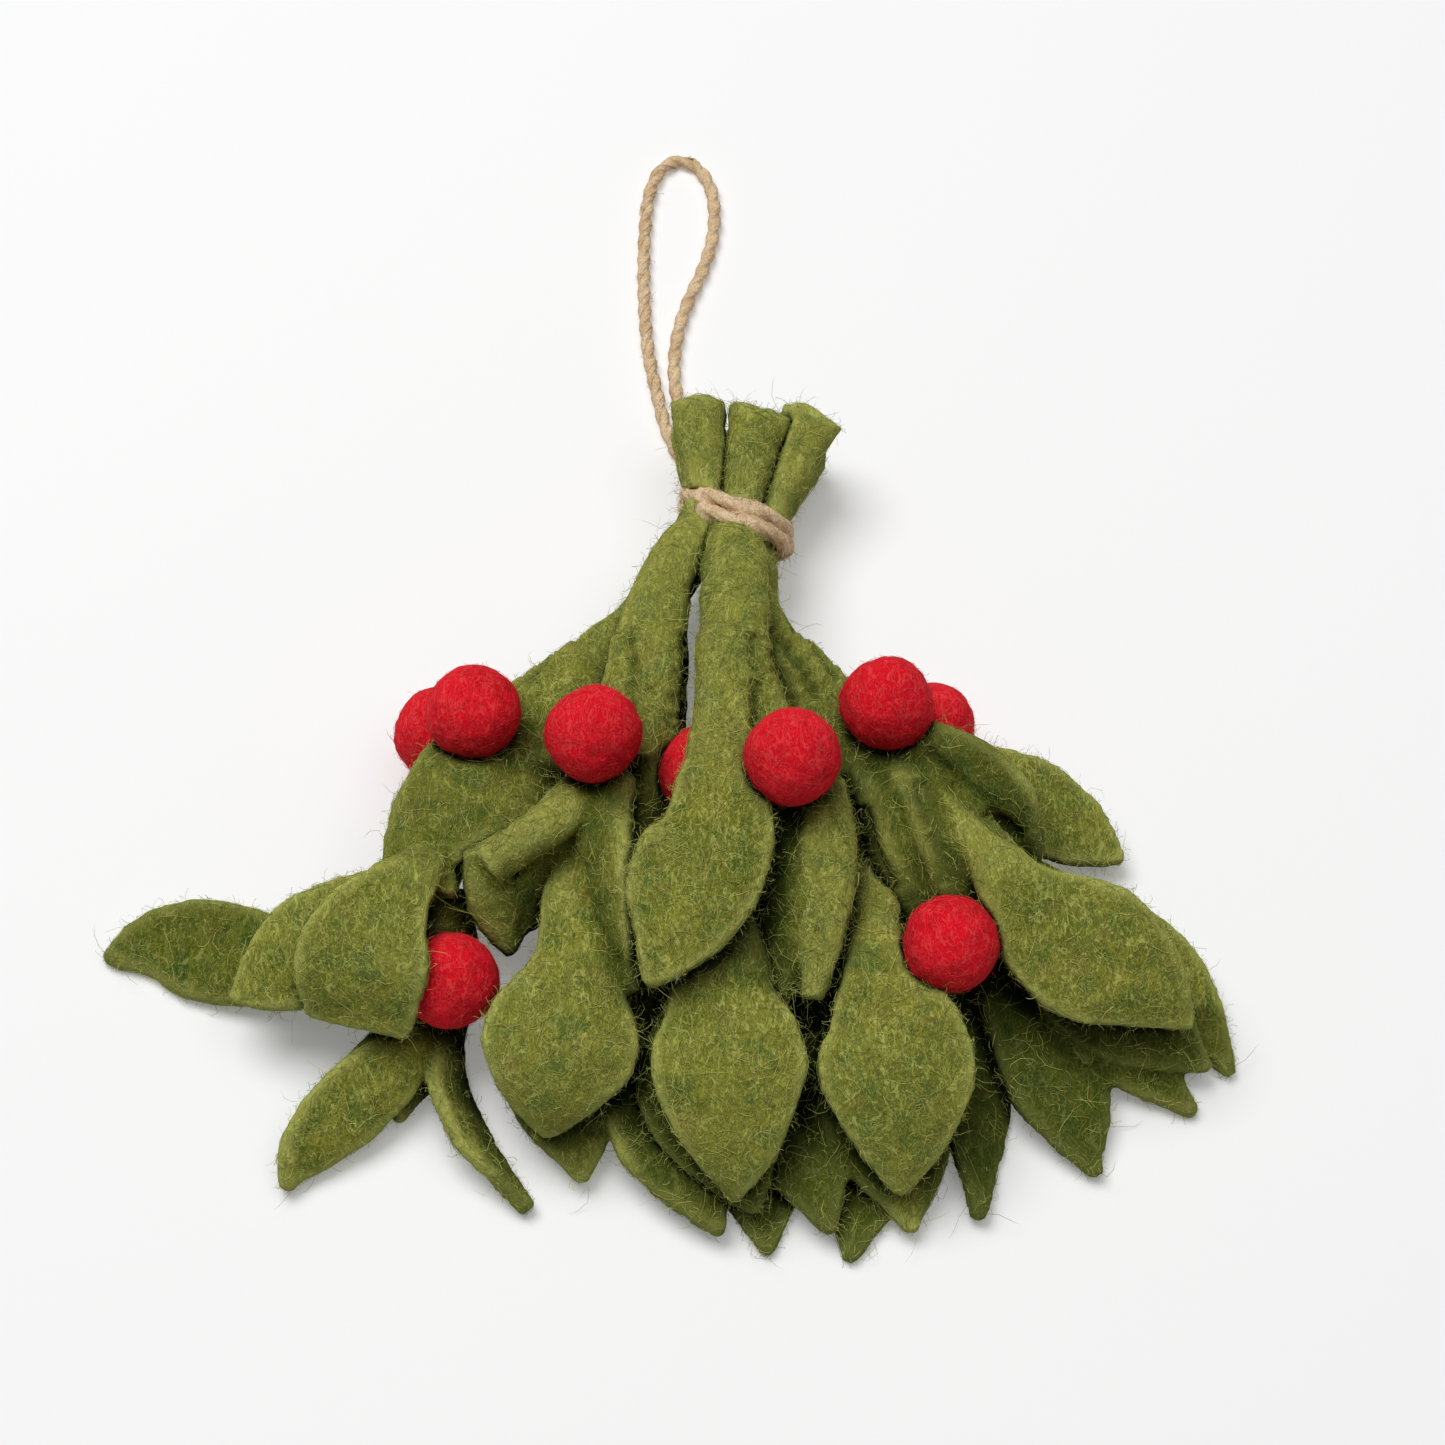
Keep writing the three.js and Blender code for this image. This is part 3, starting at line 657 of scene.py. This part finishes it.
def hidden_sky_shade(piece, tree, headings):
    """How much of the open side of each point other felt hides, from 0 to 1: painted shade."""
    points, normals = points_of(piece.data), normals_of(piece.data)
    facing = np.clip(normals @ headings.T, 0, 1)
    hidden = np.zeros(len(points))
    for k, heading in enumerate(headings):
        way = Vector(heading)
        for i in np.nonzero(facing[:, k] > 0.15)[0]:
            start = Vector(points[i] + 0.6 * MM * normals[i])
            if tree.ray_cast(start, way, SHUT_REACH)[0] is not None:
                hidden[i] += facing[i, k]
    share = hidden / np.maximum(facing.sum(axis=1), 0.2)
    return spread_out(share[:, None], edges_of(piece.data), 0.5, 4)[:, 0]


headings = [(0, 0, 1)]
for ring, count in SKY_RINGS:
    for k in range(count):
        a, up = 2 * math.pi * (k + 0.5) / count, math.radians(ring)
        headings.append((math.cos(a) * math.cos(up), math.sin(a) * math.cos(up), math.sin(up)))
open_sky = all_surfaces([*felt.values(), *balls.values()])
for piece in felt.values():
    label(piece.data, "hidden_sky_shade", np.clip(hidden_sky_shade(piece, open_sky, np.array(headings)), 0, 1))

# ---- loose fibres -----------------------------------------------------------------------

SPANS = 4                                 # straight parts in each strand
STRAYS = 0.2                              # share of the lying strands that may leave the wool
LYING_REACH = 1.2 * MM


def strand_pattern():
    """One straight three-sided strand, pointed at both ends, to be copied and bent."""
    bm = bmesh.new()
    bmesh.ops.create_cone(bm, segments=3, radius1=1, radius2=1, depth=SPANS - 2)
    for cut in range(1, SPANS - 2):
        everything = bm.verts[:] + bm.edges[:] + bm.faces[:]
        bmesh.ops.bisect_plane(bm, geom=everything, dist=1e-5, plane_no=(0, 0, 1),
                               plane_co=(0, 0, cut - (SPANS - 2) / 2))
    for end in (-1, 1):
        ring = [v for v in bm.verts if abs(v.co.z - end * (SPANS - 2) / 2) < 1e-4]
        bmesh.ops.contextual_create(bm, geom=ring)
        cap = next(f for f in bm.faces if all(v in ring for v in f.verts))
        tip = bmesh.ops.poke(bm, faces=[cap])["verts"][0]
        tip.co.z = end * SPANS / 2
    bmesh.ops.recalc_face_normals(bm, faces=bm.faces)
    mesh = bpy.data.meshes.new("strand")
    bm.to_mesh(mesh)
    bm.free()
    return mesh


def fibres(name, under, count, seed, length, radius, fuzz, fuzz_length, curl, weigh=None):
    """Strands over the surface of a mesh: most lie on it and curl, and a share of them,
    fuzz, are short and stand off it."""
    draw = np.random.default_rng(seed)
    points, triangles = surface_of(under)
    a, b, c = (points[triangles[:, i]] for i in range(3))
    across = np.cross(b - a, c - a)
    area = np.linalg.norm(across, axis=1)
    if weigh is not None:
        area = area * weigh[triangles].mean(axis=1)
    chosen = draw.choice(len(triangles), count, p=area / area.sum())
    u, v = draw.random(count), draw.random(count)
    turned = u + v > 1
    u[turned], v[turned] = 1 - u[turned], 1 - v[turned]
    root = a[chosen] + u[:, None] * (b - a)[chosen] + v[:, None] * (c - a)[chosen]
    normal = across[chosen] / np.linalg.norm(across[chosen], axis=1)[:, None]
    tangent = np.cross(normal, draw.normal(size=(count, 3)))
    tangent /= np.linalg.norm(tangent, axis=1)[:, None]
    side = np.cross(normal, tangent)
    loose = draw.random(count) < fuzz
    long = np.where(loose, draw.uniform(*fuzz_length, count), draw.uniform(*length, count))
    bend = draw.normal(0, curl, count)
    bends = bend[:, None] + draw.normal(0, 0.5 * curl, (count, SPANS))
    heading = np.cumsum(bends, axis=1)
    rise = np.where(loose, draw.uniform(0.3, 1.1, count), 0)
    stray = draw.random(count) < STRAYS
    tree = BVHTree.FromPolygons(points.tolist(), triangles.tolist())
    path = np.empty((count, SPANS + 1, 3))
    path[:, 0] = root - 0.1 * MM * normal
    at = root.copy()
    for k in range(SPANS):
        way = (np.cos(heading[:, k])[:, None] * tangent + np.sin(heading[:, k])[:, None] * side
               + (rise * (1 if k < SPANS - 1 else -0.3))[:, None] * normal)
        at = at + way * (long / SPANS)[:, None]
        lift = draw.uniform(0.05, 0.35, count) * MM
        for i in range(count):
            spot, facing, _, far = tree.find_nearest(Vector(at[i]))
            inside = (Vector(at[i]) - spot).dot(facing) < lift[i]
            if inside or (not loose[i] and (far < LYING_REACH or not stray[i])):
                at[i] = spot + facing * lift[i]
        path[:, k + 1] = at
    path[:, -1] -= np.where(loose, 0, 0.2 * MM)[:, None] * normal
    path[:, :, 2] = np.maximum(path[:, :, 2], 0.1 * MM)
    pattern = strand_pattern()
    each = len(pattern.vertices)
    local = points_of(pattern)
    station = np.round(local[:, 2] + SPANS / 2).astype(int)
    piece = link(name, pattern)
    copies = piece.modifiers.new("copies", "ARRAY")
    copies.count = count
    copies.use_relative_offset = False
    applied(piece)
    along = np.gradient(path, axis=1)
    along /= np.maximum(np.linalg.norm(along, axis=2), 1e-9)[:, :, None]
    up = np.cross(along, draw.normal(size=(count, 1, 3)))
    up /= np.maximum(np.linalg.norm(up, axis=2), 1e-9)[:, :, None]
    over = np.cross(along, up)
    thick = radius * draw.uniform(0.7, 1.3, count)
    x, y = local[:, 0], local[:, 1]
    placed = (path[:, station]
              + (thick[:, None] * x)[:, :, None] * up[:, station]
              + (thick[:, None] * y)[:, :, None] * over[:, station])
    placed[:, :, 2] = np.maximum(placed[:, :, 2], TABLE_GAP)
    move_points(piece.data, placed.reshape(-1, 3))
    label(piece.data, "tone", np.repeat(draw.random(count) ** 1.5, each))
    smooth_shaded(piece.data)
    return piece


STRANDS = 4350     # on each sprig
BALL_STRANDS, LOOP_STRANDS, TIE_STRANDS = 200, 450, 700
for k, (node, piece) in enumerate(felt.items()):
    rim = np.empty(len(piece.data.vertices), dtype=np.float32)
    piece.data.attributes["rim"].data.foreach_get("value", rim)
    up = np.clip(0.45 + 0.55 * normals_of(piece.data)[:, 2], 0.15, 1)
    wool = fibres(node + "_wool", piece.data, STRANDS, 100 + k, (4 * MM, 11 * MM),
                  0.04 * MM, 0.55, (1 * MM, 2.8 * MM), 0.6, up * (1 + 4 * rim))
    finish(wool, GREEN_WOOL, "green_felt")

for k, (node, piece) in enumerate(balls.items()):
    wool = fibres(node + "_fibres", piece.data, BALL_STRANDS, 200 + k, (3 * MM, 7 * MM),
                  0.035 * MM, 0.35, (0.8 * MM, 2 * MM), 0.7)
    finish(wool, RED_WOOL, "red_felt")

for k, (piece, count) in enumerate(((loop, LOOP_STRANDS), (tie, TIE_STRANDS))):
    hairs = fibres(piece.name + "_fibres", piece.data, count, 300 + k, (2 * MM, 5 * MM),
                   0.05 * MM, 0.6, (1 * MM, 3.2 * MM), 0.4)
    finish(hairs, JUTE_FIBRE, "jute_twine")

# ---- table and light --------------------------------------------------------------------

floor_mesh = bpy.data.meshes.new("table")
bm = bmesh.new()
bmesh.ops.create_grid(bm, x_segments=1, y_segments=1, size=3)
bm.to_mesh(floor_mesh)
bm.free()
table = link("table", floor_mesh)
white = Look("white_table")
white.surface((0.78, 0.78, 0.78, 1), 0.9, 0.1)
white.shader.inputs["Emission Color"].default_value = (1, 1, 1, 1)
white.shader.inputs["Emission Strength"].default_value = 0.2
floor_mesh.materials.append(white.material)


def soft_light(name, place, size, watts):
    data = bpy.data.lights.new(name, "AREA")
    data.shape = "DISK"
    data.size = size
    data.energy = watts
    lamp = bpy.data.objects.new(name, data)
    lamp.location = place
    lamp.rotation_euler = Vector(place).to_track_quat("Z", "Y").to_euler()
    bpy.context.scene.collection.objects.link(lamp)


soft_light("key", (-0.65, 0.6, 2.0), 1.5, 34)
soft_light("overhead", (0.45, 0.0, 2.2), 2.2, 15.5)

world = bpy.data.worlds.new("studio")
world.use_nodes = True
world.node_tree.nodes["Background"].inputs["Color"].default_value = (1, 1, 1, 1)
world.node_tree.nodes["Background"].inputs["Strength"].default_value = 0.1
bpy.context.scene.world = world
bpy.context.scene.view_settings.view_transform = "Standard"
